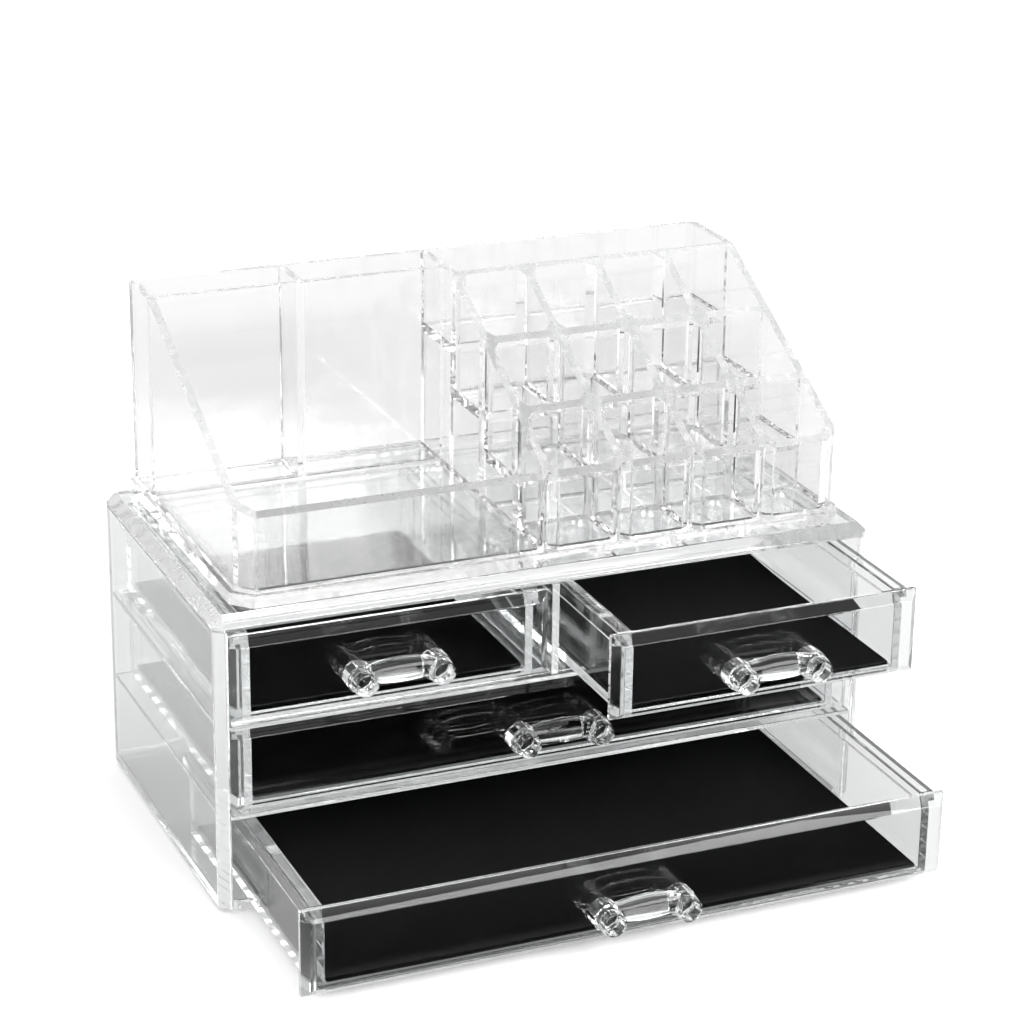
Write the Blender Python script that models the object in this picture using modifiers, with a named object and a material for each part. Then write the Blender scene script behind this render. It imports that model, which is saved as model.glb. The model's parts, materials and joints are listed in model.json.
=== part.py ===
# Clear acrylic make-up organizer: a case with two small drawers side by
# side over two wide ones, and a divided tray that lifts off the top.
# Metres, +Z up. The origin is the middle of the underside, and the front
# faces -Y. Two drawers stand part open, as the organizer is often shown.

import math

import bmesh
import bpy
from mathutils import Matrix, Vector

# Case
case_width = 0.238
case_depth = 0.1275
case_height = 0.1059
case_chamfer = 0.0035
side_thickness = 0.0044
back_thickness = 0.003
top_thickness = 0.0047
base_thickness = 0.0037
shelf_thickness = 0.0016
divider_thickness = 0.0027
side_lift = 0.0016
base_setback = 0.0015
base_corner_radius = 0.004
base_corner_steps = 5

# Modelling tolerances
weld_distance = 0.00001
flat_angle = math.radians(0.5)

# Gaps between pieces
joint_gap = 0.0003
slide_gap = 0.0003
side_gap = 0.0003
roof_gap = 0.0033
rear_gap = 0.0015

# Drawers
front_thickness = 0.005
front_chamfer = 0.0032
box_inset = 0.0052
box_wall = 0.0029
box_floor = 0.0025
box_back = 0.003
rim_width = 0.0024
rim_height = 0.0048
liner_thickness = 0.0015
liner_margin = 0.0008
top_right_open = 0.0435
bottom_open = 0.0692

# Handles: two faceted studs with a hollow face, joined by a bow that swells
# in the middle, a little below the middle of the panel
handle_drop = 0.0026
stud_spacing = 0.0268
stud_length = 0.0114
stud_base_radius = 0.0050
stud_neck_radius = 0.0046
stud_face_radius = 0.0040
stud_rim = 0.0005
stud_dish = 0.0045
stud_floor_radius = 0.0030
stud_sides = 12
stud_ring_share = 0.51
stud_neck_share = 0.55
bow_thickness = 0.0062
bow_width = 0.0058
bow_swell_share = 0.37
bow_lift = 0.0012
bow_rise = 0.0004
bow_reach = 0.0056
bow_points = 13

# Tray
tray_width = 0.2212
tray_depth = 0.1215
tray_height = 0.0766
tray_setback = 0.0039
tray_wall = 0.0029
tray_ledge = 0.0018
tray_front_height = 0.0302
plinth_height = 0.0042
plinth_front_corner = 0.0066
plinth_back_corner = 0.0032
tray_corner = 0.006
back_row_depth = 0.0183
block_rear_depth = 0.0284
slot_columns = 4
row_wall_shares = (0.306, 0.651, 1.0)
row_floor_shares = (0.228, 0.401)
rear_floor_share = 0.612

# Places that follow from the sizes above
half = 0.5
front_y = -case_depth * half
back_y = case_depth * half
side_inner_x = case_width * half - side_thickness
back_inner_y = back_y - back_thickness
roof_z = case_height - top_thickness
fit_x = side_inner_x - joint_gap
fit_y = back_inner_y - joint_gap
drawer_rows = 3
lower_rows = drawer_rows - 1
row_room = roof_z - base_thickness - lower_rows * (shelf_thickness + joint_gap) - roof_gap
front_height = row_room / drawer_rows - slide_gap
row_step = front_height + joint_gap + shelf_thickness + slide_gap
bottom_z = base_thickness + slide_gap
middle_z = bottom_z + row_step
top_z = middle_z + row_step
lower_shelf_z = bottom_z + front_height + joint_gap
upper_shelf_z = middle_z + front_height + joint_gap
wide_width = (side_inner_x - side_gap) / half
narrow_inner_x = divider_thickness * half + side_gap
narrow_width = side_inner_x - side_gap - narrow_inner_x
narrow_x = narrow_inner_x + narrow_width * half

tray_z = case_height + joint_gap
tray_top_z = tray_z + tray_height
plinth_top_z = tray_z + plinth_height
wall_foot_z = plinth_top_z + joint_gap
tray_front_z = tray_z + tray_front_height
plinth_front_y = front_y + tray_setback
plinth_back_y = plinth_front_y + tray_depth
wall_front_y = plinth_front_y + tray_ledge
wall_back_y = plinth_back_y - tray_ledge
wall_outer_x = tray_width * half - tray_ledge
wall_inner_x = wall_outer_x - tray_wall
inner_front_y = wall_front_y + tray_wall + joint_gap
inner_back_y = wall_back_y - tray_wall - joint_gap
corner_y = wall_front_y + tray_corner
half_wall = tray_wall * half
row_wall_y = wall_back_y - tray_wall - back_row_depth
block_back_y = wall_back_y - tray_wall - block_rear_depth
block_front_y = wall_front_y + half_wall
column_pitch = (wall_outer_x - half_wall) / slot_columns


def start_collections():
    """Empty the scene and make one collection for parts and one for cutters."""
    for old in list(bpy.data.objects):
        bpy.data.objects.remove(old, do_unlink=True)
    made = []
    for name in ("makeup_organizer", "cutters"):
        collection = bpy.data.collections.new(name)
        bpy.context.scene.collection.children.link(collection)
        made.append(collection)
    return made


parts, cutters = start_collections()


def material(name, colour, roughness):
    """A plain plastic or fabric finish in linear colour."""
    made = bpy.data.materials.new(name)
    made.use_nodes = True
    shader = made.node_tree.nodes["Principled BSDF"]
    shader.inputs["Base Color"].default_value = (*colour, 1.0)
    shader.inputs["Roughness"].default_value = roughness
    shader.inputs["Metallic"].default_value = 0.0
    return made


case_acrylic = material("clear_acrylic_case", (0.84, 0.88, 0.90), 0.04)
drawer_acrylic = material("clear_acrylic_drawer", (0.78, 0.83, 0.86), 0.04)
handle_acrylic = material("clear_acrylic_handle", (0.62, 0.68, 0.72), 0.05)
tray_acrylic = material("clear_acrylic_tray", (0.86, 0.90, 0.93), 0.05)
liner_fabric = material("black_liner_pad", (0.012, 0.012, 0.013), 0.9)


def add_object(name, mesh, finish, place, parent=None, collection=None):
    """Link a mesh under its name, with its own copy of the finish."""
    made = bpy.data.objects.new(name, mesh)
    (collection or parts).objects.link(made)
    own = finish.copy()
    own.name = name + "_" + finish.name
    mesh.materials.append(own)
    origin = parent.location if parent else Vector((0.0, 0.0, 0.0))
    made.parent = parent
    made.location = Vector(place) - origin
    return made


def add_cutter(name, mesh, place, parent=None):
    """A shape that only cuts or joins: drawn as wire and left out."""
    made = add_object(name, mesh, drawer_acrylic, place, parent, cutters)
    made.hide_render = True
    made.display_type = "WIRE"
    return made


def box_mesh(name, size, chamfers=()):
    """A block about its own middle. Each chamfer is a width, a number of
    steps and a test that picks the edges it cuts."""
    mesh = bpy.data.meshes.new(name)
    shape = bmesh.new()
    bmesh.ops.create_cube(shape, size=1.0)
    bmesh.ops.scale(shape, vec=size, verts=shape.verts)
    for width, steps, picks in chamfers:
        edges = [edge for edge in shape.edges if picks(edge)]
        bmesh.ops.bevel(shape, geom=edges, offset=width, segments=steps, profile=0.5,
                        affect="EDGES", clamp_overlap=False)
    shape.to_mesh(mesh)
    shape.free()
    return mesh


def along(edge, axis):
    """Whether an edge runs along one axis only."""
    run = edge.verts[1].co - edge.verts[0].co
    return abs(run[axis]) > 0.9 * run.length


def middle(edge):
    return (edge.verts[0].co + edge.verts[1].co) * half


def block(name, low, high, finish, parent=None, chamfers=()):
    """A block between two opposite corners."""
    low = Vector(low)
    high = Vector(high)
    mesh = box_mesh(name, high - low, chamfers)
    return add_object(name, mesh, finish, (low + high) * half, parent)


def cut_away(piece, what, low, high, parent):
    """Cut a block-shaped room out of a piece."""
    low = Vector(low)
    high = Vector(high)
    name = piece.name + "_" + what
    cutter = add_cutter(name, box_mesh(name, high - low), (low + high) * half, parent)
    cut = piece.modifiers.new(what, "BOOLEAN")
    cut.operation = "DIFFERENCE"
    cut.solver = "EXACT"
    cut.object = cutter


def outline_mesh(name, points, thickness, turn):
    """A flat outline given a thickness, welded, and turned to stand up."""
    curve = bpy.data.curves.new(name, "CURVE")
    curve.dimensions = "2D"
    curve.fill_mode = "BOTH"
    curve.extrude = thickness * half
    spline = curve.splines.new("POLY")
    spline.points.add(len(points) - 1)
    for point, (across, up) in zip(spline.points, points):
        point.co = (across, up, 0.0, 1.0)
    spline.use_cyclic_u = True
    holder = bpy.data.objects.new(name + "_outline", curve)
    cutters.objects.link(holder)
    holder.rotation_euler = turn
    return mesh_from_curve(name, holder)


def mesh_from_curve(name, holder):
    """Take a curve object's surface as one closed mesh and drop the curve."""
    bpy.context.view_layer.update()
    seen = holder.evaluated_get(bpy.context.evaluated_depsgraph_get())
    mesh = bpy.data.meshes.new_from_object(seen)
    mesh.name = name
    mesh.materials.clear()
    mesh.transform(holder.matrix_world)
    shape = bmesh.new()
    shape.from_mesh(mesh)
    bmesh.ops.remove_doubles(shape, verts=shape.verts, dist=weld_distance)
    bmesh.ops.dissolve_limit(shape, angle_limit=flat_angle, verts=shape.verts, edges=shape.edges)
    bmesh.ops.recalc_face_normals(shape, faces=shape.faces)
    shape.to_mesh(mesh)
    shape.free()
    curve = holder.data
    bpy.data.objects.remove(holder, do_unlink=True)
    bpy.data.curves.remove(curve)
    return mesh


# Turns for an outline drawn from the side, and for one drawn in plan
side_view = (math.radians(90.0), 0.0, math.radians(90.0))
plan_view = (0.0, 0.0, 0.0)


def side_plate(name, points, thickness, x, finish, parent=None):
    """An upright plate along Y, from its outline in Y and Z."""
    mesh = outline_mesh(name, points, thickness, side_view)
    origin = parent.location if parent else Vector((0.0, 0.0, 0.0))
    mesh.transform(move_by((0.0, -origin.y, -origin.z)))
    return add_object(name, mesh, finish, (x, origin.y, origin.z), parent)


def move_by(step):
    return Matrix.Translation(Vector(step))


def slide_empty(name, place):
    """An empty on a sliding joint's axis, which carries the moving pieces."""
    made = bpy.data.objects.new(name, None)
    made.empty_display_size = stud_length
    parts.objects.link(made)
    made.location = place
    return made


# Case shell

def corner_edges(edge):
    return along(edge, 2)


def top_edges(edge):
    return middle(edge).z > 0.0 and not along(edge, 2)


block("case_top",
      (-case_width * half, front_y, roof_z),
      (case_width * half, back_y, case_height),
      case_acrylic,
      chamfers=((case_chamfer, 1, lambda edge: corner_edges(edge) or top_edges(edge)),))

for side_name, sign in (("left", -1), ("right", 1)):
    outer = sign * case_width * half
    inner = sign * side_inner_x
    block("case_side_" + side_name,
          (min(outer, inner), front_y, side_lift),
          (max(outer, inner), back_y, roof_z - joint_gap),
          case_acrylic,
          chamfers=((case_chamfer, 1,
                     lambda edge, sign=sign: along(edge, 2) and middle(edge).x * sign > 0.0),))

block("case_back",
      (-fit_x, back_inner_y, base_thickness + joint_gap),
      (fit_x, back_y, roof_z - joint_gap),
      case_acrylic)

block("case_base",
      (-fit_x, front_y + base_setback, 0.0),
      (fit_x, back_y, base_thickness),
      case_acrylic,
      chamfers=((base_corner_radius, base_corner_steps,
                 lambda edge: along(edge, 2) and middle(edge).y < 0.0),))

for shelf_name, shelf_z in (("case_shelf_lower", lower_shelf_z), ("case_shelf_upper", upper_shelf_z)):
    block(shelf_name,
          (-fit_x, front_y, shelf_z),
          (fit_x, fit_y, shelf_z + shelf_thickness),
          case_acrylic)

block("case_divider",
      (-divider_thickness * half, front_y, upper_shelf_z + shelf_thickness + joint_gap),
      (divider_thickness * half, fit_y, roof_z - joint_gap),
      case_acrylic)


# Drawers

stud_profile = [(0.0, stud_length), (stud_face_radius, stud_length),
                (stud_neck_radius, stud_length * stud_neck_share),
                (stud_base_radius, stud_length * stud_ring_share),
                (stud_base_radius, 0.0), (0.0, 0.0)]
dish_radius = stud_face_radius - stud_rim
dish_profile = [(0.0, stud_length + stud_rim), (dish_radius, stud_length + stud_rim),
                (dish_radius, stud_length), (stud_floor_radius, stud_length - stud_dish),
                (0.0, stud_length - stud_dish)]


def turned_mesh(name, profile):
    """The half outline of a stud, or of the dish that is cut from its face."""
    mesh = bpy.data.meshes.new(name)
    shape = bmesh.new()
    points = [shape.verts.new((radius, 0.0, height)) for radius, height in profile]
    for first, second in zip(points, points[1:]):
        shape.edges.new((first, second))
    shape.to_mesh(mesh)
    shape.free()
    return mesh


def turn_stud(stud):
    """Sweep a half outline round and lay it along -Y."""
    screw = stud.modifiers.new("turn", "SCREW")
    screw.steps = stud_sides
    screw.render_steps = stud_sides
    screw.use_merge_vertices = True
    screw.merge_threshold = weld_distance
    screw.use_smooth_shade = False
    stud.rotation_euler = (math.radians(90.0), 0.0, 0.0)


def bow_mesh(name):
    """The bow between the studs: an oval section that swells in the middle."""
    curve = bpy.data.curves.new(name, "CURVE")
    curve.dimensions = "3D"
    curve.bevel_depth = bow_thickness * half
    curve.bevel_resolution = 3
    curve.use_fill_caps = True
    spline = curve.splines.new("POLY")
    spline.points.add(bow_points - 1)
    last = bow_points - 1
    for index, point in enumerate(spline.points):
        along_share = index / last
        x = (along_share - half) * stud_spacing
        lift = math.sin(math.pi * along_share)
        point.co = (x, 0.0, bow_rise * lift + bow_lift, 1.0)
        point.radius += bow_swell_share * lift
    holder = bpy.data.objects.new(name + "_path", curve)
    cutters.objects.link(holder)
    holder.scale = (1.0, bow_width / bow_thickness, 1.0)
    return mesh_from_curve(name, holder)


def drawer(name, x, z, width, opened):
    """A box, its front plate, handle and liner, on one sliding empty."""
    face_y = front_y - opened
    box_width = width - box_inset / half
    box_front_y = face_y + front_thickness + joint_gap
    box_rear_y = back_inner_y - rear_gap - opened
    inner_x = box_width * half - box_wall
    slide = slide_empty(name + "_slide", (x, face_y, z + front_height * half))

    # The box is a block that is hollowed from the top and the front, with
    # the room under the strip along each side's top edge cut away.
    rim_x = box_width * half + rim_width
    box = block(name + "_box",
                (x - rim_x, box_front_y, z),
                (x + rim_x, box_rear_y, z + front_height),
                drawer_acrylic, slide)
    cut_away(box, "hollow",
             (x - inner_x, box_front_y - box_back, z + box_floor),
             (x + inner_x, box_rear_y - box_back, z + front_height + box_floor), slide)
    for side, sign in (("left", -1), ("right", 1)):
        near = x + sign * box_width * half
        far = x + sign * (rim_x + box_wall)
        cut_away(box, "under_rim_" + side,
                 (min(near, far), box_front_y - box_back, z - box_floor),
                 (max(near, far), box_rear_y + box_back, z + front_height - rim_height), slide)

    block(name + "_front",
          (x - width * half, face_y, z),
          (x + width * half, face_y + front_thickness, z + front_height),
          drawer_acrylic, slide,
          chamfers=((front_chamfer, 1, lambda edge: middle(edge).y < 0.0 and not along(edge, 1)),))

    liner_x = inner_x - liner_margin
    liner_z = z + box_floor + joint_gap
    block(name + "_liner",
          (x - liner_x, box_front_y + liner_margin, liner_z),
          (x + liner_x, box_rear_y - box_back - liner_margin, liner_z + liner_thickness),
          liner_fabric, slide)

    stud_y = face_y - joint_gap
    axis_z = z + front_height * half - handle_drop
    handle = add_object(name + "_handle", bow_mesh(name + "_bow"), handle_acrylic,
                        (x, face_y - bow_reach, axis_z), slide)
    for form, profile, operation in (("stud", stud_profile, "UNION"), ("dish", dish_profile, "DIFFERENCE")):
        for side, sign in (("left", -1), ("right", 1)):
            label = name + "_" + form + "_" + side
            turned = add_cutter(label, turned_mesh(label, profile),
                                (x + sign * stud_spacing * half, stud_y, axis_z), slide)
            turn_stud(turned)
            join = handle.modifiers.new(label, "BOOLEAN")
            join.operation = operation
            join.solver = "EXACT"
            join.object = turned


drawer("top_left", -narrow_x, top_z, narrow_width, 0.0)
drawer("top_right", narrow_x, top_z, narrow_width, top_right_open)
drawer("middle", 0.0, middle_z, wide_width, 0.0)
drawer("bottom", 0.0, bottom_z, wide_width, bottom_open)


# Tray: it stands on the case by its weight and lifts straight off

tray_lift = slide_empty("tray_lift", (0.0, (plinth_front_y + plinth_back_y) * half, tray_z))


def slope_z(y, top_y):
    """Height of a side's sloping edge, from its low front to its high back."""
    share = (y - wall_front_y) / (top_y - wall_front_y)
    return tray_front_z + min(max(share, 0.0), 1.0) * (tray_top_z - tray_front_z)


def sloped_wall(name, x, first_y, last_y, top_y):
    """A side or divider whose top edge slopes down to the front."""
    points = [(first_y, wall_foot_z), (last_y, wall_foot_z), (last_y, tray_top_z)]
    if last_y > top_y:
        points.append((top_y, tray_top_z))
    points.append((first_y, slope_z(first_y, top_y)))
    return side_plate(name, points, tray_wall, x, tray_acrylic, tray_lift)


def plinth_corner(edge, front):
    return along(edge, 2) and (middle(edge).y < 0.0) == front


block("tray_base",
      (-tray_width * half, plinth_front_y, tray_z),
      (tray_width * half, plinth_back_y, plinth_top_z),
      tray_acrylic, tray_lift,
      chamfers=((plinth_front_corner, 1, lambda edge: plinth_corner(edge, True)),
                (plinth_back_corner, 1,
                 lambda edge: along(edge, 2) and middle(edge).y > tray_depth * half - joint_gap)))

block("tray_back_wall",
      (-wall_outer_x, wall_back_y - tray_wall, wall_foot_z),
      (wall_outer_x, wall_back_y, tray_top_z),
      tray_acrylic, tray_lift)

side_x = wall_outer_x - half_wall
sloped_wall("tray_left_wall", -side_x, corner_y + joint_gap, inner_back_y, row_wall_y)
sloped_wall("tray_right_wall", side_x, corner_y + joint_gap, inner_back_y, block_back_y)
sloped_wall("tray_block_wall", 0.0, inner_front_y, inner_back_y, block_back_y)

# Front wall, bent round both chamfered corners. Its top slopes as the block does.
bend = tray_wall * math.tan(math.radians(22.5))
turn_x = wall_outer_x - tray_corner
right_end = [(turn_x, wall_front_y), (wall_outer_x, corner_y),
             (wall_inner_x - bend, corner_y), (turn_x - bend, wall_front_y + tray_wall)]
left_end = [(-x, y) for x, y in reversed(right_end)]
front_wall_height = slope_z(corner_y, block_back_y) - wall_foot_z
front_wall = outline_mesh("tray_front_wall", right_end + left_end, front_wall_height, plan_view)
front_wall.transform(move_by((0.0, -tray_lift.location.y, 0.0)))
front_wall = add_object("tray_front_wall", front_wall, tray_acrylic,
                        (0.0, tray_lift.location.y, wall_foot_z + front_wall_height * half), tray_lift)
block_slope = (tray_top_z - tray_front_z) / (block_back_y - wall_front_y)
slant = [(y, tray_front_z + (y - wall_front_y) * block_slope)
         for y in (wall_front_y - tray_wall, corner_y + tray_wall)]
slant += [(slant[1][0], tray_top_z), (slant[0][0], tray_top_z)]
slant_mesh = outline_mesh("tray_front_wall_slant", slant, tray_width, side_view)
slant_mesh.transform(move_by(-tray_lift.location))
slant_cut = front_wall.modifiers.new("slant", "BOOLEAN")
slant_cut.operation = "DIFFERENCE"
slant_cut.solver = "EXACT"
slant_cut.object = add_cutter("tray_front_wall_slant", slant_mesh, tray_lift.location, tray_lift)

# Back row: its front wall, and the divider that makes two deep cells
block("tray_row_wall",
      (-wall_inner_x + joint_gap, row_wall_y - tray_wall, wall_foot_z),
      (-half_wall - joint_gap, row_wall_y, tray_top_z),
      tray_acrylic, tray_lift)

row_divider_x = -side_x * half
block("tray_row_divider",
      (row_divider_x - half_wall, row_wall_y + joint_gap, wall_foot_z),
      (row_divider_x + half_wall, inner_back_y, tray_top_z),
      tray_acrylic, tray_lift)

# Slot block: long sloping dividers, and a stepped floor in each column
block_length = block_back_y - block_front_y
row_walls = [block_front_y + share * block_length for share in row_wall_shares]
row_floors = [tray_z + share * tray_height for share in row_floor_shares]
rear_floor_z = tray_z + rear_floor_share * tray_height


def step_outline():
    """The stepped floor and its cross walls, seen from the side."""
    under = [(row_walls[0] + half_wall, wall_foot_z)]
    over = [(row_walls[0] - half_wall, wall_foot_z)]
    for index, wall_y in enumerate(row_walls):
        top = slope_z(wall_y - half_wall, block_back_y)
        rear_y = wall_y + half_wall
        over.append((wall_y - half_wall, top))
        over.append((rear_y, top))
        if index < len(row_floors):
            floor_z = row_floors[index]
            under.append((rear_y, floor_z))
            under.append((row_walls[index + 1] + half_wall, floor_z))
            over.append((rear_y, floor_z + tray_wall))
            over.append((row_walls[index + 1] - half_wall, floor_z + tray_wall))
    return under + list(reversed(over))


for column in range(slot_columns):
    low_x = column * column_pitch + half_wall + joint_gap
    high_x = (column + 1) * column_pitch - half_wall - joint_gap
    side_plate("tray_steps_" + str(column + 1), step_outline(), high_x - low_x,
               (low_x + high_x) * half, tray_acrylic, tray_lift)
    if column > 0:
        sloped_wall("tray_slot_divider_" + str(column), column * column_pitch,
                    inner_front_y, block_back_y + half_wall, block_back_y)

block("tray_rear_floor",
      (half_wall + joint_gap, block_back_y + half_wall + joint_gap, rear_floor_z),
      (wall_inner_x - joint_gap, inner_back_y, rear_floor_z + tray_wall),
      tray_acrylic, tray_lift)

bpy.context.view_layer.update()
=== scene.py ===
# %% [markdown]
# # A clear acrylic make-up organizer
# The organizer is a case of glued acrylic plates with four drawers, and a
# moulded tray of cells and lipstick slots that stands on its top. The solid
# model is loaded first and stays fixed. Every plate then gets the fine
# polished edges and the clear finish that the bare solids lack.

# %% Load the solid model
import json
import math

import bmesh
import bpy
from mathutils import Matrix, Vector


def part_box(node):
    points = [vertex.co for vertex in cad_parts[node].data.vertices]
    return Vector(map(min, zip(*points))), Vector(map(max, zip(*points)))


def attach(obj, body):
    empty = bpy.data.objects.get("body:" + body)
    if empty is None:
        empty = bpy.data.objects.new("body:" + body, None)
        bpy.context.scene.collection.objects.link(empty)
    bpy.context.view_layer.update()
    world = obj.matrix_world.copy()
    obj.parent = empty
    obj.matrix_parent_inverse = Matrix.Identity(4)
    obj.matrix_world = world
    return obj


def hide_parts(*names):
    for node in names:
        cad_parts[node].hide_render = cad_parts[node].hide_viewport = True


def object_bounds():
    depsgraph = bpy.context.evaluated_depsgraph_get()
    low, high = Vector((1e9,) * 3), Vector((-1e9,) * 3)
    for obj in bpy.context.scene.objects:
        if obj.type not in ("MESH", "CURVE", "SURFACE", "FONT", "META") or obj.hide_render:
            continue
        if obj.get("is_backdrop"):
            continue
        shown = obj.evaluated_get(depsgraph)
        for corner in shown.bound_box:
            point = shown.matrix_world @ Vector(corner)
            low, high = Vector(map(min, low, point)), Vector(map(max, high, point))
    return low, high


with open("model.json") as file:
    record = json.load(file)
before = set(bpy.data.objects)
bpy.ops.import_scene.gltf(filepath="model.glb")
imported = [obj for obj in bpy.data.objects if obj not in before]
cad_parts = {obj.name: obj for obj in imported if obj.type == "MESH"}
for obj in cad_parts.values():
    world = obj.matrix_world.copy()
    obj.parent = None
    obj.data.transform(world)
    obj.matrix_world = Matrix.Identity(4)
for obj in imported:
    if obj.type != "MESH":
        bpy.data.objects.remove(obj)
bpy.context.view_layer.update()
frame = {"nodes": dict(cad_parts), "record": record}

scene = bpy.context.scene

# %% [markdown]
# ## Colours and nodes
# Colours are written as the hex codes of a paint chart. Shaders want linear
# light, so one function turns a code round. A second one adds a shader node
# with its settings and links, which keeps each finish down to a few lines.

# %% Colour and node helpers
def linear(code):
    """A hex colour as linear red, green, blue and a full alpha."""
    shares = [int(code[place:place + 2], 16) / 255 for place in (1, 3, 5)]
    return [share / 12.92 if share <= 0.04045 else ((share + 0.055) / 1.055) ** 2.4
            for share in shares] + [1.0]


def add_node(tree, kind, inputs=None, **settings):
    """Add a node. An input takes a value, or another node's socket."""
    made = tree.nodes.new(kind)
    for name, value in settings.items():
        setattr(made, name, value)
    for name, value in (inputs or {}).items():
        if isinstance(value, bpy.types.NodeSocket):
            tree.links.new(value, made.inputs[name])
        else:
            made.inputs[name].default_value = value
    return made


print("black liner in linear light", [round(share, 4) for share in linear("#0D0D0E")])

# %% [markdown]
# ## Clear acrylic
# Acrylic (PMMA) bends light by 1.49. The plates are cast sheet with flame
# polished edges, so they are glossy all over, with a faint haze of wiping
# marks. The sheet is never perfectly flat: a long, very shallow wave bends
# the lines behind it a little. Clear plastic is plain transmission on the
# shader, and the haze and the wave come from two noises on Object
# coordinates, whose scales are in waves per metre.

# %% Make the clear finishes
ACRYLIC_IOR = 1.49
HAZE_FROM, HAZE_TO = 0.35, 0.7


def clear_acrylic(name, colour, low_haze, high_haze, haze_size, wave_size, wave_height):
    """A clear plastic: a tint, a patchy haze and a shallow wave."""
    made = bpy.data.materials.new(name)
    made.use_nodes = True
    tree = made.node_tree
    shader = tree.nodes["Principled BSDF"]
    place = add_node(tree, "ShaderNodeTexCoord").outputs["Object"]
    wiping = add_node(tree, "ShaderNodeTexNoise",
                      {"Vector": place, "Scale": 1 / haze_size, "Detail": 4.0, "Roughness": 0.6})
    haze = add_node(tree, "ShaderNodeMapRange",
                    {"Value": wiping.outputs["Fac"], "From Min": HAZE_FROM, "From Max": HAZE_TO,
                     "To Min": low_haze, "To Max": high_haze})
    wave = add_node(tree, "ShaderNodeTexNoise",
                    {"Vector": place, "Scale": 1 / wave_size, "Detail": 1.0})
    bump = add_node(tree, "ShaderNodeBump",
                    {"Height": wave.outputs["Fac"], "Strength": 1.0, "Distance": wave_height})
    shader.inputs["Base Color"].default_value = linear(colour)
    shader.inputs["Transmission Weight"].default_value = 1.0
    shader.inputs["IOR"].default_value = ACRYLIC_IOR
    tree.links.new(haze.outputs["Result"], shader.inputs["Roughness"])
    tree.links.new(bump.outputs["Normal"], shader.inputs["Normal"])
    return made


# Cast sheet: the clearest, with the long wave of the casting.
case_finish = clear_acrylic("cast_acrylic_sheet", "#F8F9F9", 0.0, 0.03, 0.02, 0.05, 0.00004)
# Drawer sheet: the same, a little more handled.
drawer_finish = clear_acrylic("cast_acrylic_drawer_sheet", "#F8F9F9",
                              0.0, 0.04, 0.015, 0.05, 0.00004)
# Moulded acrylic: a livelier surface, from the flow of the melt.
tray_finish = clear_acrylic("moulded_acrylic", "#FBFBFB", 0.01, 0.06, 0.01, 0.02, 0.00004)
# Handles: small thick mouldings, the same plastic with a crisp gloss.
handle_finish = clear_acrylic("moulded_acrylic_handle", "#FBFCFC", 0.0, 0.015, 0.008, 0.01, 0.00001)
clear_finishes = (case_finish, drawer_finish, tray_finish, handle_finish)
print("clear finishes", [finish.name for finish in clear_finishes])

# %% [markdown]
# The tops of the tray's walls are where the mould parts, so they look satin
# and mottled, a little greyer than the clear walls below. That finish scatters
# the light that passes through it, in patches of about two millimetres. The
# chamfers at the ends of the case's top have a finer satin of the same kind.

# %% Make the satin finishes
MOTTLE_FROM, MOTTLE_TO = 0.35, 0.65


def satin_acrylic(name, dark, pale, rough, smooth, mottle_size, clearness):
    """A clear plastic with a satin face, in paler and greyer patches."""
    made = bpy.data.materials.new(name)
    made.use_nodes = True
    tree = made.node_tree
    shader = tree.nodes["Principled BSDF"]
    place = add_node(tree, "ShaderNodeTexCoord").outputs["Object"]
    mottle = add_node(tree, "ShaderNodeTexNoise",
                      {"Vector": place, "Scale": 1 / mottle_size, "Detail": 3.0})
    greys = add_node(tree, "ShaderNodeValToRGB", {"Fac": mottle.outputs["Fac"]})
    stops = zip(greys.color_ramp.elements, (MOTTLE_FROM, MOTTLE_TO), (dark, pale))
    for element, position, colour in stops:
        element.position = position
        element.color = linear(colour)
    satin = add_node(tree, "ShaderNodeMapRange",
                     {"Value": mottle.outputs["Fac"], "From Min": MOTTLE_FROM,
                      "From Max": MOTTLE_TO, "To Min": rough, "To Max": smooth})
    tree.links.new(greys.outputs["Color"], shader.inputs["Base Color"])
    tree.links.new(satin.outputs["Result"], shader.inputs["Roughness"])
    shader.inputs["Transmission Weight"].default_value = clearness
    shader.inputs["IOR"].default_value = ACRYLIC_IOR
    return made


# Rims: the tops of the moulded walls, satin with patches of 2.2 mm.
rim_finish = satin_acrylic("satin_moulded_rim", "#E4E5E6", "#FAFAFA", 0.4, 0.25, 0.0022, 0.7)
# Chamfers: planed, and only lightly polished.
planed_finish = satin_acrylic("planed_acrylic_chamfer", "#F0F1F1", "#FAFAFA",
                              0.3, 0.18, 0.004, 1.0)
print("satin finishes", rim_finish.name, planed_finish.name)

# %% [markdown]
# ## Polished plates
# A real plate has a tiny rounded arris where its faces meet, and that arris is
# what draws the bright and dark lines of clear plastic. The solid model has
# sharp edges, so each plate is copied, its triangles are welded back into
# whole faces, and its edges are rounded with a small bevel.

# %% Round the edges of a plate
ARRIS = 0.00025
ARRIS_STEPS = 2
WELD = 0.00002
FLAT = math.radians(0.5)
SHARP = math.radians(20)


def body_of(node):
    """The name of the moving body that a node belongs to."""
    bodies = frame["record"]["behaviour"]["bodies"]
    return next(body for body, members in bodies.items() if node in members)


def finish_piece(name, shape, material, body):
    """Turn a bmesh into a piece that rides on a body."""
    mesh = bpy.data.meshes.new(name)
    shape.to_mesh(mesh)
    shape.free()
    piece = bpy.data.objects.new(name, mesh)
    scene.collection.objects.link(piece)
    mesh.materials.append(material)
    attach(piece, body)
    return piece


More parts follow.
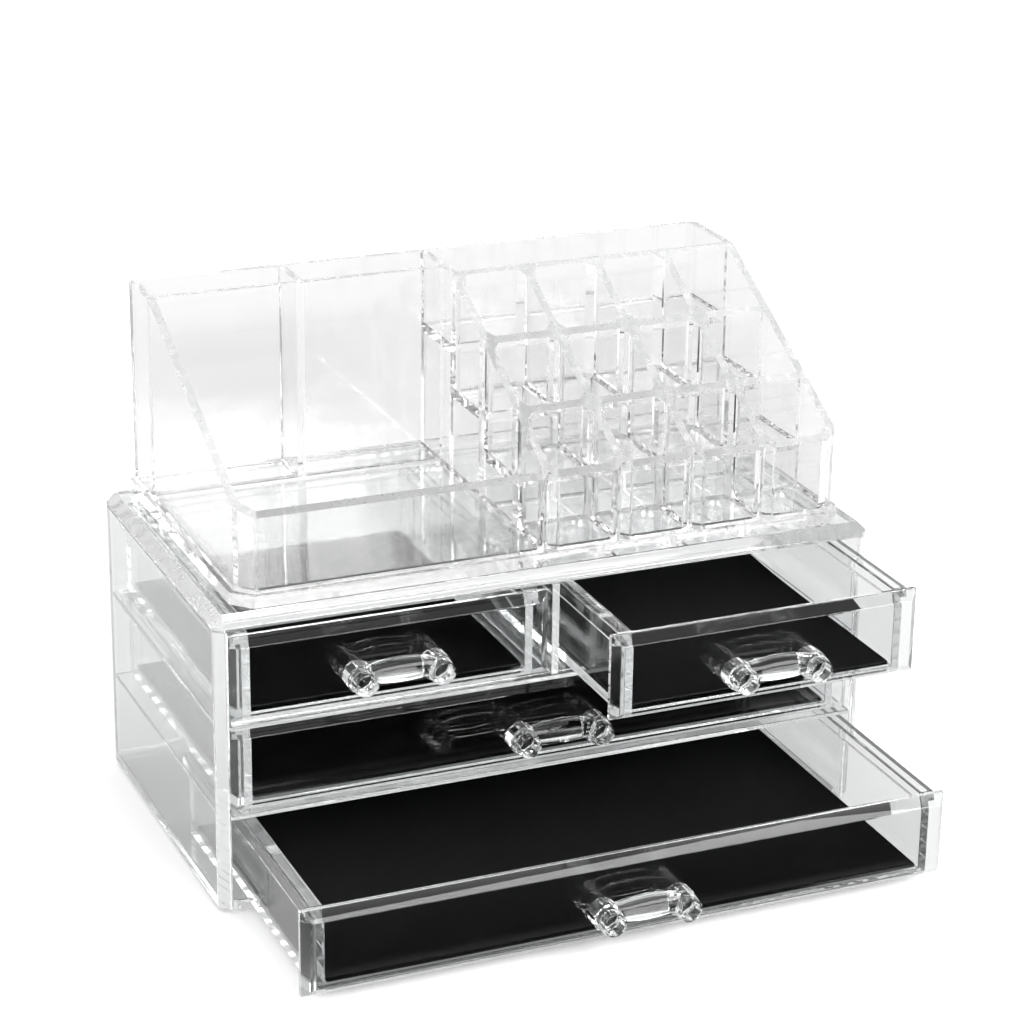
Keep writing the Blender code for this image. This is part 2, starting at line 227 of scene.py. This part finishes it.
def round_edges(piece, width, steps=ARRIS_STEPS):
    """Give every sharp edge a fine rounded arris."""
    soften = piece.modifiers.new("arris", "BEVEL")
    soften.width = width
    soften.segments = steps
    soften.limit_method = "ANGLE"
    soften.angle_limit = SHARP
    soften.use_clamp_overlap = True
    return piece


def polished_copy(node, material):
    """A copy of a solid with welded faces and rounded edges."""
    shape = bmesh.new()
    shape.from_mesh(frame["nodes"][node].data)
    bmesh.ops.remove_doubles(shape, verts=shape.verts, dist=WELD)
    bmesh.ops.dissolve_limit(shape, angle_limit=FLAT, verts=shape.verts, edges=shape.edges)
    piece = finish_piece(node + "_plate", shape, material, body_of(node))
    round_edges(piece, ARRIS)
    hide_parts(node)
    return piece


CHAMFER_LEAST, CHAMFER_MOST = 0.2, 0.9
case_nodes = [name for name in frame["nodes"] if name.startswith("case_")]
for name in case_nodes:
    plate = polished_copy(name, case_finish)
    if name == "case_top":
        plate.data.materials.append(planed_finish)
        for face in plate.data.polygons:
            face.material_index = int(CHAMFER_LEAST < abs(face.normal.x) < CHAMFER_MOST
                                      and face.normal.z > CHAMFER_LEAST)
drawers = ("top_left", "top_right", "middle", "bottom")
for drawer in drawers:
    for part in ("_box", "_front"):
        polished_copy(drawer + part, drawer_finish)
print("polished plates", len(case_nodes) + 2 * len(drawers))

# %% [markdown]
# ## Handles
# Each handle is one clear moulding: two faceted studs with a deep hollow face,
# joined by a bow that swells in the middle. A stud could be turned on a lathe,
# and that is how it is made here: its half outline is spun in twelve steps, so
# the facets come by themselves. The hollow is spun the same way and cut out.

# %% Shape one stud
FACETS = 12
STUD_RADIUS = 0.0050
# Each pair is a radius and a distance from the drawer's front, in metres.
stud_outline = ((0.0, 0.0), (0.0048, 0.0), (STUD_RADIUS, 0.0003), (STUD_RADIUS, 0.0056),
                (0.0046, 0.0062), (0.0043, 0.0105), (0.0040, 0.0114), (0.0, 0.0114))
dish_outline = ((0.0, 0.0069), (0.0030, 0.0069), (0.0035, 0.0112), (0.0037, 0.0120),
                (0.0, 0.0120))


def spun_form(shape, outline, middle):
    """Spin an outline round the stud's own line, which runs to the front."""
    form = bmesh.new()
    points = [form.verts.new((radius, -length, 0.0)) for radius, length in outline]
    lines = [form.edges.new(pair) for pair in zip(points, points[1:])]
    bmesh.ops.spin(form, geom=points + lines, cent=(0, 0, 0), axis=(0, 1, 0),
                   angle=2 * math.pi, steps=FACETS, use_merge=True)
    bmesh.ops.remove_doubles(form, verts=form.verts, dist=WELD)
    bmesh.ops.rotate(form, verts=form.verts, cent=(0, 0, 0),
                     matrix=Matrix.Rotation(math.pi / FACETS, 3, "Y"))
    bmesh.ops.translate(form, verts=form.verts, vec=middle)
    bmesh.ops.recalc_face_normals(form, faces=form.faces)
    pour(form, shape)


def pour(form, shape):
    """Add one bmesh to another."""
    held = bpy.data.meshes.new("held_form")
    form.to_mesh(held)
    form.free()
    shape.from_mesh(held)
    bpy.data.meshes.remove(held)


print("stud of", FACETS, "facets, hollow of", len(dish_outline), "corners")

# %% [markdown]
# The bow starts as a flat oval. It is drawn out from stud to stud in short
# steps, and each step scales it a little, so that it swells and sinks again.
# Then the studs are joined to it and the hollows are cut.

# %% Shape the bow and join the three
SPACING = 0.0268
BOW_STEPS = 24
BOW_SIDES = 32
BOW_DEPTH = 0.0058
BOW_HEIGHT = 0.0062
BOW_SWELL = 0.37
BOW_LIFT = 0.0012
BOW_RISE = 0.0004
BOW_REACH = 0.0053
BOW_FACE_AREA = 0.000002


def bow_form():
    """An oval drawn out from stud to stud, that swells in the middle."""
    bow = bmesh.new()
    bmesh.ops.create_circle(bow, segments=BOW_SIDES, radius=0.5,
                            matrix=Matrix.Rotation(math.pi / 2, 4, "Y"))
    bmesh.ops.scale(bow, verts=bow.verts, vec=(1.0, BOW_DEPTH, BOW_HEIGHT))
    bmesh.ops.translate(bow, verts=bow.verts, vec=(-SPACING / 2, 0, 0))
    edges = list(bow.edges)
    bmesh.ops.contextual_create(bow, geom=edges)
    for step in range(1, BOW_STEPS + 1):
        grown = bmesh.ops.extrude_edge_only(bow, edges=edges)["geom"]
        verts = [item for item in grown if isinstance(item, bmesh.types.BMVert)]
        edges = [item for item in grown if isinstance(item, bmesh.types.BMEdge)]
        now, before = (math.sin(math.pi * place / BOW_STEPS) for place in (step, step - 1))
        share = (1 + BOW_SWELL * now) / (1 + BOW_SWELL * before)
        bmesh.ops.scale(bow, verts=verts, vec=(1.0, share, share),
                        space=Matrix.Translation((0, 0, -BOW_RISE * before)))
        bmesh.ops.translate(bow, verts=verts,
                            vec=(SPACING / BOW_STEPS, 0, BOW_RISE * (now - before)))
    bmesh.ops.contextual_create(bow, geom=edges)
    return bow


def handle_forms(middle_x, front_y, axis_z):
    """Two studs, a bow and two hollows, on the front of a drawer."""
    studs, dishes = bmesh.new(), bmesh.new()
    for side in (-1, 1):
        middle = Vector((middle_x + side * SPACING / 2, front_y, axis_z))
        spun_form(studs, stud_outline, middle)
        spun_form(dishes, dish_outline, middle)
    bow = bow_form()
    bmesh.ops.translate(bow, verts=bow.verts,
                        vec=(middle_x, front_y - BOW_REACH, axis_z + BOW_LIFT))
    bmesh.ops.recalc_face_normals(bow, faces=bow.faces)
    return studs, bow, dishes


HANDLE_ARRIS = 0.00024
HOLLOW_REACH = 0.00365


def sharpen_hollows(piece, middle_x, axis_z):
    """Round the outer edges of a handle, and leave the hollows crisp."""
    rounding = round_edges(piece, HANDLE_ARRIS, 1).modifiers["arris"]
    rounding.limit_method = "WEIGHT"
    weights = piece.data.attributes.new("bevel_weight_edge", "FLOAT", "EDGE")
    shape = bmesh.new()
    shape.from_mesh(piece.data)
    for edge in shape.edges:
        middle = (edge.verts[0].co + edge.verts[1].co) / 2
        from_stud = math.hypot(abs(middle.x - middle_x) - SPACING / 2, middle.z - axis_z)
        sharp = edge.is_manifold and edge.calc_face_angle() > SHARP
        weights.data[edge.index].value = float(sharp and from_stud > HOLLOW_REACH)
    shape.free()


MICRON_PLACES = 6


def mesh_object(name, shape):
    """A bmesh as a plain object, for the Boolean tool. Its points are set on
    whole microns, so that corners which meet are exactly the same."""
    for vert in shape.verts:
        vert.co = [round(place, MICRON_PLACES) for place in vert.co]
    mesh = bpy.data.meshes.new(name)
    shape.to_mesh(mesh)
    shape.free()
    made = bpy.data.objects.new(name, mesh)
    scene.collection.objects.link(made)
    return made


def combine(body, others, operation):
    """Join shapes to a body or cut them from it, and keep the result as a bmesh."""
    for other in others:
        step = body.modifiers.new(other.name, "BOOLEAN")
        step.operation = operation
        step.solver = "EXACT"
        step.object = other
    bpy.context.view_layer.update()
    result = bmesh.new()
    result.from_mesh(body.evaluated_get(bpy.context.evaluated_depsgraph_get()).to_mesh())
    for done in (body, *others):
        bpy.data.objects.remove(done, do_unlink=True)
    return result


for drawer in drawers:
    low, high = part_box(drawer + "_handle")
    middle_x = (low.x + high.x) / 2
    axis_z = low.z + STUD_RADIUS * math.cos(math.pi / FACETS)
    studs, bow, dishes = handle_forms(middle_x, high.y, axis_z)
    joined = combine(mesh_object("bow_form", bow), [mesh_object("stud_form", studs)], "UNION")
    joined = combine(mesh_object("joined_form", joined),
                     [mesh_object("dish_form", dishes)], "DIFFERENCE")
    piece = finish_piece(drawer + "_handle_moulding", joined, handle_finish,
                         drawer + "_drawer")
    for face in piece.data.polygons:
        on_bow = abs(face.center.x - middle_x) < SPACING / 2 - STUD_RADIUS
        face.use_smooth = on_bow and face.area < BOW_FACE_AREA
    sharpen_hollows(piece, middle_x, axis_z)
    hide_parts(drawer + "_handle")
    print(piece.name, len(piece.data.polygons), "faces")

# %% [markdown]
# ## Drawer liners
# A black flocked pad lies loose on the floor of each drawer. It is a thin
# sheet, so it is drawn as a cut rectangle with soft edges. The pad of the
# upper right drawer has taken a curl at its rear right corner. The flock's
# fibres are 0.4 mm apart, and worn patches are about 30 mm across.

# %% Make the flocked black pads
pad_finish = bpy.data.materials.new("black_flocked_pad")
pad_finish.use_nodes = True
tree = pad_finish.node_tree
shader = tree.nodes["Principled BSDF"]
place = add_node(tree, "ShaderNodeTexCoord").outputs["Object"]
FIBRE = 0.0004
PATCH = 0.03
PILE_DEPTH = 0.0002
fibres = add_node(tree, "ShaderNodeTexNoise", {"Vector": place, "Scale": 1 / FIBRE, "Detail": 3.0})
patches = add_node(tree, "ShaderNodeTexNoise", {"Vector": place, "Scale": 1 / PATCH, "Detail": 2.0})
shades = add_node(tree, "ShaderNodeValToRGB", {"Fac": patches.outputs["Fac"]})
shades.color_ramp.elements[0].color = linear("#060607")
shades.color_ramp.elements[1].color = linear("#101011")
pile = add_node(tree, "ShaderNodeBump",
                {"Height": fibres.outputs["Fac"], "Strength": 0.5, "Distance": PILE_DEPTH})
tree.links.new(shades.outputs["Color"], shader.inputs["Base Color"])
tree.links.new(pile.outputs["Normal"], shader.inputs["Normal"])
shader.inputs["Roughness"].default_value = 0.9
shader.inputs["Specular IOR Level"].default_value = 0.12
shader.inputs["Sheen Weight"].default_value = 0.02
shader.inputs["Sheen Roughness"].default_value = 0.5

print("pad finish", pad_finish.name)

# %% [markdown]
# Each pad is a fine grid on the drawer's floor. A very low wave keeps it from
# looking like a painted panel, and the grid is then thickened downwards.

# %% Lay a pad in each drawer
PAD_CELL = 0.003
PAD_WAVE = 0.00012
PAD_ROUND = 0.0004
CURL_WIDTH = 0.034
CURL_START_Y = 0.020
CURL_LENGTH = 0.060
CURL_FLAT = 0.55
CURL_RISE = 0.0042
CURL_PULL = 0.0010


def pad_piece(drawer):
    """A thin sheet on the drawer's floor, in the solid pad's place."""
    low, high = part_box(drawer + "_liner")
    size = high - low
    shape = bmesh.new()
    steps = [max(2, round(length / PAD_CELL)) for length in size[:2]]
    bmesh.ops.create_grid(shape, x_segments=steps[0], y_segments=steps[1], size=0.5)
    bmesh.ops.scale(shape, verts=shape.verts, vec=(size.x, size.y, 1.0))
    bmesh.ops.translate(shape, verts=shape.verts,
                        vec=((low.x + high.x) / 2, (low.y + high.y) / 2, high.z))
    for vert in shape.verts:
        # Two long waves that cross, in radians per metre.
        wave = (math.sin(vert.co.x * 55 + vert.co.y * 31)
                * math.sin(vert.co.y * 47 - vert.co.x * 17))
        vert.co.z += PAD_WAVE * wave
        if drawer == "top_right":
            reach = ((vert.co.x - high.x + CURL_WIDTH) / CURL_WIDTH
                     + (vert.co.y - high.y + CURL_START_Y) / CURL_LENGTH)
            curl = max(0.0, reach - CURL_FLAT)
            vert.co.z += CURL_RISE * curl * curl
            vert.co.x -= CURL_PULL * curl * curl
    bmesh.ops.solidify(shape, geom=shape.faces, thickness=size.z)
    bmesh.ops.recalc_face_normals(shape, faces=shape.faces)
    piece = finish_piece(drawer + "_pad", shape, pad_finish, drawer + "_drawer")
    round_edges(piece, PAD_ROUND)
    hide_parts(drawer + "_liner")
    return piece


for drawer in drawers:
    pad = pad_piece(drawer)
    print(pad.name, [round(length * 1000, 1) for length in pad.dimensions])

# %% [markdown]
# ## The tray
# The tray is one clear moulding. It could be glued up from plates, but then
# every joint would show as a dark line that the real one doesn't have, so it
# is carved: a solid block with the tray's outline, out of which the slope,
# the cells, the slots and the hollows under the raised slots are cut.

# %% Read the tray's sizes from the solids
base_low, base_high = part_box("tray_base")
back_low, back_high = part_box("tray_back_wall")
front_low, front_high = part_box("tray_front_wall")
row_low, row_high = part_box("tray_row_wall")
divider_low, divider_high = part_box("tray_row_divider")
rear_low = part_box("tray_rear_floor")[0]
steps_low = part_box("tray_steps_1")[0]

WALL = back_high.y - back_low.y
half = WALL / 2
TOP = back_high.z
FOOT = base_low.z
LEDGE_Z = base_high.z
LEDGE = back_low.x - base_low.x
FRONT_HEIGHT = 0.0302
FRONT_TOP = FOOT + FRONT_HEIGHT
CORNER = front_high.y - front_low.y
PLINTH_FRONT_CORNER = 0.0066
PLINTH_BACK_CORNER = 0.0032
SOLID_GAP = 0.0003
COLUMNS = 4
ROWS = 3
# Places of the cross walls, as shares of the way from the front to the back.
CROSS_SHARES = (0.651, 1.0)
# Undersides of the raised floors, as shares of the tray's height.
FLOOR_SHARES = (0.228, 0.401)
pitch = (back_high.x - WALL / 2) / COLUMNS
slot_back_y = rear_low.y - SOLID_GAP - WALL / 2
cross_walls = [steps_low.y + WALL / 2]
slot_front_y = front_low.y + WALL / 2
for share in CROSS_SHARES:
    cross_walls.append(slot_front_y + share * (slot_back_y - slot_front_y))
floor_unders = [FOOT + share * (TOP - FOOT) for share in FLOOR_SHARES]
print("pitch", round(pitch * 1000, 2), "cross walls", [round(y * 1000, 1) for y in cross_walls])

# %% [markdown]
# Carving needs a few tools: a block between two corners, a chamfer on chosen
# edges, a cell with chamfered corners and a rounded foot, and a prism.

# %% Small tools for carving
FOOT_ROUND = 0.0012
ALONG = 0.99
NEAR_SIDE = 0.45


def block_shape(shape, low, high):
    """A block between two corners, as part of a bmesh; gives its edges."""
    made = bmesh.ops.create_cube(shape, size=1.0)["verts"]
    low, high = Vector(low), Vector(high)
    bmesh.ops.scale(shape, verts=made, vec=high - low)
    bmesh.ops.translate(shape, verts=made, vec=(low + high) / 2)
    return list({edge for vert in made for edge in vert.link_edges})


def runs(edge, axis):
    """Whether an edge runs along one axis."""
    span = edge.verts[1].co - edge.verts[0].co
    return abs(span[axis]) > ALONG * span.length


def centre(edge):
    """The middle of an edge."""
    return (edge.verts[0].co + edge.verts[1].co) / 2


def chamfer(shape, edges, width, steps=1):
    """Cut or round some edges of a bmesh."""
    if edges and width > 0:
        bmesh.ops.bevel(shape, geom=edges, offset=width, segments=steps, profile=0.5,
                        affect="EDGES", material=-1, clamp_overlap=True)


def pocket(shape, low, high, front=(0.0, 0.0), back=(0.0, 0.0)):
    """A cell to cut out: chamfers on its upright corners, left then right,
    and a rounded foot."""
    single = bmesh.new()
    block_shape(single, low, high)
    middle = (Vector(low) + Vector(high)) / 2
    for y_side, widths in ((-1, front), (1, back)):
        for x_side, width in zip((-1, 1), widths):
            upright = [edge for edge in single.edges if runs(edge, 2)
                       and (centre(edge).y - middle.y) * y_side > (high[1] - low[1]) * NEAR_SIDE
                       and (centre(edge).x - middle.x) * x_side > (high[0] - low[0]) * NEAR_SIDE]
            chamfer(single, upright, width)
    foot = [edge for edge in single.edges if abs(edge.verts[0].co.z - low[2]) < WELD
            and abs(edge.verts[1].co.z - low[2]) < WELD]
    chamfer(single, foot, FOOT_ROUND, 2)
    pour(single, shape)


def points_of(grown):
    """The points among the things that an operator gives back."""
    return [item for item in grown if isinstance(item, bmesh.types.BMVert)]


def prism(shape, outline, first, last, axis):
    """A few corners joined to a face, and pushed along an axis."""
    corners = []
    for pair in outline:
        place = list(pair)
        place.insert(axis, first)
        corners.append(shape.verts.new(place))
    face = bmesh.ops.contextual_create(shape, geom=corners)["faces"]
    grown = bmesh.ops.extrude_face_region(shape, geom=face)["geom"]
    push = Vector((0, 0, 0))
    push[axis] = last - first
    bmesh.ops.translate(shape, verts=points_of(grown), vec=push)
    bmesh.ops.recalc_face_normals(shape, faces=shape.faces)


print("carving tools", [tool.__name__ for tool in (block_shape, chamfer, pocket, prism)])

# %% [markdown]
# ### The block
# The foot is a plain slab with chamfered corners. Its top face is inset by the
# ledge and pulled up to the tray's full height, so the walls get the same
# chamfered corners a little smaller, as on the moulding.

# %% Shape the solid block
block = bmesh.new()
edges = block_shape(block, base_low, base_high)
chamfer(block, [edge for edge in edges if runs(edge, 2) and centre(edge).y < 0],
        PLINTH_FRONT_CORNER)
chamfer(block, [edge for edge in block.edges if runs(edge, 2)
                and centre(edge).y > base_high.y - WELD], PLINTH_BACK_CORNER)
top_face = max(block.faces, key=lambda face: face.calc_center_median().z)
bmesh.ops.inset_region(block, faces=[top_face], thickness=LEDGE, use_even_offset=True)
grown = bmesh.ops.extrude_face_region(block, geom=[top_face])["geom"]
bmesh.ops.delete(block, geom=[top_face], context="FACES_ONLY")
bmesh.ops.translate(block, verts=points_of(grown), vec=(0, 0, TOP - LEDGE_Z))
bmesh.ops.recalc_face_normals(block, faces=block.faces)
print("tray block", len(block.faces), "faces")

# %% [markdown]
# ### The slope, the cells and the slots
# Both sides slope down to a low front. The open cell's slope starts at the
# wall of the back row, and the slots' slope starts at their rear wall, a
# little further forward.

# %% Cut the slopes
CLEAR = 0.01
WIDE = 1.0
slopes = []
for name, start_y, last_x in (("slot_slope", slot_back_y, WIDE), ("cell_slope", row_low.y, -half)):
    shape = bmesh.new()
    slope = (TOP - FRONT_TOP) / (start_y - front_low.y)
    end_y = base_low.y - CLEAR
    end_z = FRONT_TOP - slope * (CLEAR + front_low.y - base_low.y)
    prism(shape, ((start_y, TOP), (start_y, TOP + CLEAR), (end_y, TOP + CLEAR), (end_y, end_z)),
          -WIDE, last_x, 0)
    slopes.append(mesh_object(name, shape))
tray_form = combine(mesh_object("tray_form", block), slopes, "DIFFERENCE")
print("sloped block", len(tray_form.faces), "faces")

# %% [markdown]
# The cells and the slots are cut from above, the hollows from below, and the
# V-shaped grooves from the front and the left of the slots. All the cutters go
# into three meshes, so that one Boolean for each is enough.

# %% Cut the cells, the slots and the hollows below them
GROOVE = 0.0025
SIDE_GROOVE = 0.0012
inner_corner = CORNER - (2 - math.sqrt(2)) * WALL
inner_back = PLINTH_BACK_CORNER - (2 - math.sqrt(2)) * (LEDGE + WALL)
left_x, right_x = back_low.x + WALL, back_high.x - WALL
front_y, back_y = front_low.y + WALL, back_low.y
above = TOP + CLEAR
cells = bmesh.new()
pocket(cells, (left_x, front_y, LEDGE_Z), (-half, row_low.y, above),
       front=(inner_corner, GROOVE))
middle_x = (divider_low.x + divider_high.x) / 2
pocket(cells, (left_x, row_high.y, LEDGE_Z), (middle_x - half, back_y, above),
       back=(inner_back, 0.0))
pocket(cells, (middle_x + half, row_high.y, LEDGE_Z), (-half, back_y, above))
pocket(cells, (half, slot_back_y + half, rear_low.z + WALL), (right_x, back_y, above),
       back=(0.0, inner_back))
floors = [LEDGE_Z] + [under + WALL for under in floor_unders]
walls = [front_low.y + half] + cross_walls
for column in range(COLUMNS):
    for row in range(ROWS):
        last = column == COLUMNS - 1
        right = right_x if last else (column + 1) * pitch - half
        corner = inner_corner if row == 0 and last else GROOVE
        pocket(cells, (column * pitch + half, walls[row] + half, floors[row]),
               (right, walls[row + 1] - half, above),
               front=(GROOVE, corner if row == 0 else (0.0 if last else GROOVE)),
               back=(GROOVE, 0.0 if last else GROOVE))
hollows = bmesh.new()
below = FOOT - CLEAR
for column in range(COLUMNS):
    last = column == COLUMNS - 1
    right = right_x if last else (column + 1) * pitch - half
    for row, under in enumerate(floor_unders):
        block_shape(hollows, (column * pitch + half, walls[row + 1] + half, below),
                    (right, walls[row + 2] - half, under))
block_shape(hollows, (half, slot_back_y + half, below), (right_x, back_y, rear_low.z))
grooves = bmesh.new()
for y in cross_walls[:2]:
    prism(grooves, ((-half, y - GROOVE), (-half - CLEAR, y - GROOVE), (-half - CLEAR, y + GROOVE),
                    (-half, y + GROOVE), (-half + SIDE_GROOVE, y)), LEDGE_Z, above, 2)
for index in range(COLUMNS):
    x = index * pitch
    y = front_low.y
    prism(grooves, ((x - GROOVE, y), (x - GROOVE, y - CLEAR), (x + GROOVE, y - CLEAR),
                    (x + GROOVE, y), (x, y + GROOVE)), LEDGE_Z, above, 2)
tray_form = combine(mesh_object("tray_form", tray_form),
                    [mesh_object("cell_forms", cells), mesh_object("hollow_forms", hollows),
                     mesh_object("groove_forms", grooves)], "DIFFERENCE")
print("carved tray", len(tray_form.faces), "faces")

# %% [markdown]
# The carved shape becomes the tray. Its level and sloping rims take the satin
# finish, and it stands in for all the plates of the solid tray at once.

# %% Finish the tray
LEVEL = 0.99
SLOPED = 0.2
tray_nodes = [name for name in frame["nodes"] if name.startswith("tray_")]
tray = finish_piece("tray_moulding", tray_form, tray_finish, "tray")
tray.data.materials.append(rim_finish)
for face in tray.data.polygons:
    level = face.normal.z > LEVEL and abs(face.center.z - TOP) < WELD
    sloped = face.normal.z > SLOPED and face.normal.y < -SLOPED
    face.material_index = int(level or sloped)
round_edges(tray, ARRIS)
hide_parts(*tray_nodes)
check = bmesh.new()
check.from_mesh(tray.data)
open_edges = sum(1 for edge in check.edges if not edge.is_manifold)
check.free()
print("tray", len(tray.data.polygons), "faces,", open_edges, "open edges")

# %% [markdown]
# ## Floor, light and camera
# Clear plastic shows what stands round it. Everything round the organizer is
# pale, but the drawer fronts have to mirror something dark, or the black pads
# would look grey through them. So the camera, and the rays that come straight
# through the plastic, see pale surroundings everywhere. Only other rays, such
# as mirrored ones, see the dark in front: the world fades to black towards -Y,
# and a small dark card lies on the floor there.

# %% Set the surroundings
BACK_LEVEL = 0.86
ABOVE_LEVEL = 0.95
MIRRORED_ONCE = 0.5


def calculate(tree, operation, first, second):
    """The result of one sum on two values or sockets."""
    return add_node(tree, "ShaderNodeMath", {0: first, 1: second}, operation=operation).outputs[0]


def soft_step(tree, value, start, end, level):
    """A soft step from nothing at the start to a level at the end."""
    step = add_node(tree, "ShaderNodeMapRange",
                    {"Value": value, "From Min": start, "From Max": end,
                     "To Min": 0.0, "To Max": level}, interpolation_type="SMOOTHSTEP")
    return step.outputs["Result"]


def seen_through(tree, path, level):
    """A level for the rays that come straight through the clear plastic."""
    straight = calculate(tree, "LESS_THAN", path.outputs["Glossy Depth"], MIRRORED_ONCE)
    through = calculate(tree, "MULTIPLY", path.outputs["Is Transmission Ray"], straight)
    return calculate(tree, "MULTIPLY", through, level)


room = bpy.data.worlds.new("studio_surroundings")
scene.world = room
room.use_nodes = True
tree = room.node_tree
tree.nodes.clear()
direction = add_node(tree, "ShaderNodeTexCoord").outputs["Generated"]
parts = add_node(tree, "ShaderNodeSeparateXYZ", {"Vector": direction})
path = add_node(tree, "ShaderNodeLightPath")
front_card = soft_step(tree, parts.outputs["Y"], -0.75, -0.15, BACK_LEVEL)
above_card = soft_step(tree, parts.outputs["Z"], 0.3, 0.6, ABOVE_LEVEL)
shade = calculate(tree, "MAXIMUM", above_card, front_card)
shade = calculate(tree, "MAXIMUM", shade, seen_through(tree, path, BACK_LEVEL))
seen = calculate(tree, "MAXIMUM", path.outputs["Is Camera Ray"], shade)
light = add_node(tree, "ShaderNodeBackground", {"Color": linear("#FFFFFF"), "Strength": seen})
add_node(tree, "ShaderNodeOutputWorld", {"Surface": light.outputs["Background"]})
print("surroundings", len(tree.nodes), "nodes")

# %% [markdown]
# The floor is matt white paper. The card is drawn into its colour by its four
# edges, each a soft step in metres on one axis, and the brightest one counts.
# A little glow keeps the paper white round the shadow of the organizer.

# %% Lay the floor
FLOOR_LEVEL = 0.72
FLOOR_REACH = 3.0
FLOOR_DROP = 0.0002
PAPER_GLOW = 0.35
card_edges = (("Y", -0.152, -0.138), ("Y", -0.42, -0.5), ("X", -0.22, -0.3), ("X", 0.34, 0.42))
floor_shape = bmesh.new()
bmesh.ops.create_grid(floor_shape, x_segments=1, y_segments=1, size=FLOOR_REACH)
bmesh.ops.translate(floor_shape, verts=floor_shape.verts, vec=(0, 0, -FLOOR_DROP))
floor = mesh_object("studio_floor", floor_shape)
floor_finish = bpy.data.materials.new("white_studio_floor")
floor_finish.use_nodes = True
tree = floor_finish.node_tree
shader = tree.nodes["Principled BSDF"]
shader.inputs["Roughness"].default_value = 0.9
shader.inputs["Specular IOR Level"].default_value = 0.0
path = add_node(tree, "ShaderNodeLightPath")
place = add_node(tree, "ShaderNodeTexCoord").outputs["Object"]
parts = add_node(tree, "ShaderNodeSeparateXYZ", {"Vector": place})
card = seen_through(tree, path, FLOOR_LEVEL)
for axis, dark_end, pale_end in card_edges:
    edge = soft_step(tree, parts.outputs[axis], dark_end, pale_end, FLOOR_LEVEL)
    card = calculate(tree, "MAXIMUM", card, edge)
shown = calculate(tree, "MAXIMUM", path.outputs["Is Camera Ray"], card)
paper = add_node(tree, "ShaderNodeValToRGB", {"Fac": shown})
paper.color_ramp.elements[0].color = linear("#000000")
paper.color_ramp.elements[1].color = linear("#F4F4F4")
tree.links.new(paper.outputs["Color"], shader.inputs["Base Color"])
shader.inputs["Emission Color"].default_value = linear("#FFFFFF")
tree.links.new(calculate(tree, "MULTIPLY", shown, PAPER_GLOW), shader.inputs["Emission Strength"])
floor.data.materials.append(floor_finish)
floor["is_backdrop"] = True
print("floor", floor.name, "with a dark card of", len(card_edges), "edges")

# %% [markdown]
# Two soft boxes give the plates and the handles their highlights. The weak one
# hangs overhead. The strong one stands in front, on the other side from the
# camera, where the rounded bows of the handles mirror it as bright streaks.

# %% Hang two soft boxes
LOOK_AT = Vector((0.0, 0.0, 0.08))


def soft_box(name, place, size, power):
    """A large, evenly lit rectangle that looks at the organizer."""
    data = bpy.data.lights.new(name, "AREA")
    data.shape = "RECTANGLE"
    data.size, data.size_y = size
    data.energy = power
    made = bpy.data.objects.new(name, data)
    scene.collection.objects.link(made)
    made.location = place
    made.rotation_euler = (Vector(place) - LOOK_AT).to_track_quat("Z", "Y").to_euler()
    return made


overhead = soft_box("soft_overhead", place=(-0.3, -0.2, 1.5), size=(1.4, 1.0), power=4.0)
front = soft_box("soft_front", place=(0.42, -1.0, 0.8), size=(1.0, 0.6), power=14.0)
print("soft boxes", [(box.name, box.data.energy) for box in (overhead, front)])

# %% [markdown]
# The camera stands where the photograph was taken from, as found from the
# plates' corners: about 1.1 m away, half a metre up, with a long lens. A plate
# of clear plastic is two surfaces, so light is followed through many of them.

# %% Place the camera
LENS = 107.43
SENSOR_WIDTH = 36.0
NEAREST = 0.01
BOUNCES = 64
TRANSPARENT_BOUNCES = 8
CAMERA_PLACE = Vector((-0.385864, -0.920717, 0.488428))
YAW, PITCH, ROLL = (math.radians(angle) for angle in (23.316, 21.075, 0.806))
forward = Vector((math.sin(YAW) * math.cos(PITCH), math.cos(YAW) * math.cos(PITCH),
                  -math.sin(PITCH)))
right = Vector((math.cos(YAW), -math.sin(YAW), 0.0))
up = right.cross(forward)
turned_right = right * math.cos(ROLL) + up * math.sin(ROLL)
turned_up = -right * math.sin(ROLL) + up * math.cos(ROLL)
camera_data = bpy.data.cameras.new("photo_camera")
camera_data.lens = LENS
camera_data.sensor_width = SENSOR_WIDTH
camera_data.clip_start = NEAREST
camera = bpy.data.objects.new("photo_camera", camera_data)
scene.collection.objects.link(camera)
turn = Matrix((turned_right, turned_up, -forward)).transposed().to_4x4()
camera.matrix_world = Matrix.Translation(CAMERA_PLACE) @ turn
scene.camera = camera
scene.view_settings.view_transform = "Standard"
scene.cycles.max_bounces = BOUNCES
scene.cycles.transmission_bounces = BOUNCES
scene.cycles.glossy_bounces = BOUNCES
scene.cycles.transparent_max_bounces = TRANSPARENT_BOUNCES
print("camera", round((CAMERA_PLACE - LOOK_AT).length, 2), "m from the organizer")

# %% [markdown]
# ## Hand over
# The finished object has to keep the size of the solids, so both boxes are
# written down side by side.

# %% Print the finished object's size
bpy.context.view_layer.update()
low, high = [list(map(float, corner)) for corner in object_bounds()]
print("visual", [round((b - a) * 1000, 1) for a, b in zip(low, high)])
